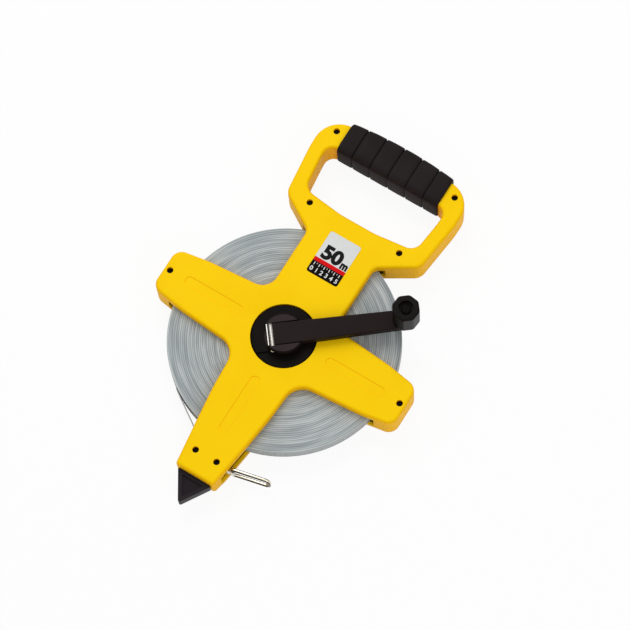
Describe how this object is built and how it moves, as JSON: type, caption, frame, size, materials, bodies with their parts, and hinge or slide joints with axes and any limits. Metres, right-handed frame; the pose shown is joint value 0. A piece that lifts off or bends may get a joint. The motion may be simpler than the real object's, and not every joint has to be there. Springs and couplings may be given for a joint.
{
  "type": "surveyor tape reel",
  "caption": "Open-frame winding reel for a steel measuring tape: cross-shaped frame with closed handle, folding crank, ground point and hook ring.",
  "frame": {"origin": "point where the reel axis meets the flat back of the frame", "axes": "+Z along the reel axis out of the crank side, +Y towards the handle, +X to the right when the crank side faces the viewer"},
  "size_m": [0.2406, 0.3658, 0.0654],
  "materials": {
    "yellow_plastic": "semi-gloss moulded ABS, lightly textured",
    "black_rubber": "matt moulded rubber",
    "black_plastic": "satin moulded nylon",
    "tape_enamel": "nylon coated steel tape",
    "steel": "bright plated steel",
    "screw_black": "black oxide steel",
    "label": "printed foil label",
    "drum_plastic": "glass filled nylon",
    "bronze": "sintered bronze"
  },
  "bodies": {
    "frame": {"front_frame_shell": "yellow_plastic", "rear_frame_shell": "yellow_plastic", "handle_grip": "black_rubber", "ground_tip": "black_plastic", "length_label": "label", "frame_screws": "screw_black", "spindle": "steel", "spindle_screw": "steel", "front_washer": "steel", "rear_washer": "bronze", "rear_hub_cap": "black_plastic", "leg_spacers": "steel", "tape_lead": "tape_enamel"},
    "roller": {"guide_roller": "steel"},
    "reel": {"drum_core": "drum_plastic", "drum_bush": "bronze", "wound_tape": "tape_enamel", "hub_screws": "screw_black", "crank_hub": "black_plastic", "hinge_pin": "steel"},
    "crank": {"crank_arm": "black_plastic", "crank_spring": "steel", "knob_stud": "screw_black"},
    "knob": {"knob": "black_plastic"},
    "tape_end": {"tape_run": "tape_enamel", "tape_clip": "steel"},
    "ring": {"end_ring": "steel"}
  },
  "joints": [
    {"name": "reel_spin", "type": "hinge", "parent": "frame", "child": "reel", "pos_m": [0, 0, 0.015], "axis": [0, 0, 1], "range_deg": [0, 360]},
    {"name": "crank_fold", "type": "hinge", "parent": "reel", "child": "crank", "pos_m": [-0.00807, -0.0064, 0.035], "axis": [-0.6211, 0.7837, 0], "range_deg": [-180, 0]},
    {"name": "knob_spin", "type": "hinge", "parent": "crank", "child": "knob", "pos_m": [0.08182, 0.06485, 0.05], "axis": [0, 0, 1], "continuous": true},
    {"name": "roller_turn", "type": "hinge", "parent": "frame", "child": "roller", "pos_m": [0.0104, -0.1229, 0.015], "axis": [0, 0, 1], "continuous": true},
    {"name": "tape_pull", "type": "slide", "parent": "frame", "child": "tape_end", "axis": [0.8775, 0.4797, 0], "range_m": [0, 0.63], "deforming": ["tape_run"]},
    {"name": "ring_swing", "type": "hinge", "parent": "tape_end", "child": "ring", "pos_m": [0.0236, -0.1203, 0.015], "axis": [0, 0, 1], "range_deg": [-85, 44]}
  ],
  "couplings": [
    {"joint": "tape_pull", "follows": "reel_spin", "m_per_rad": 0.1}
  ]
}
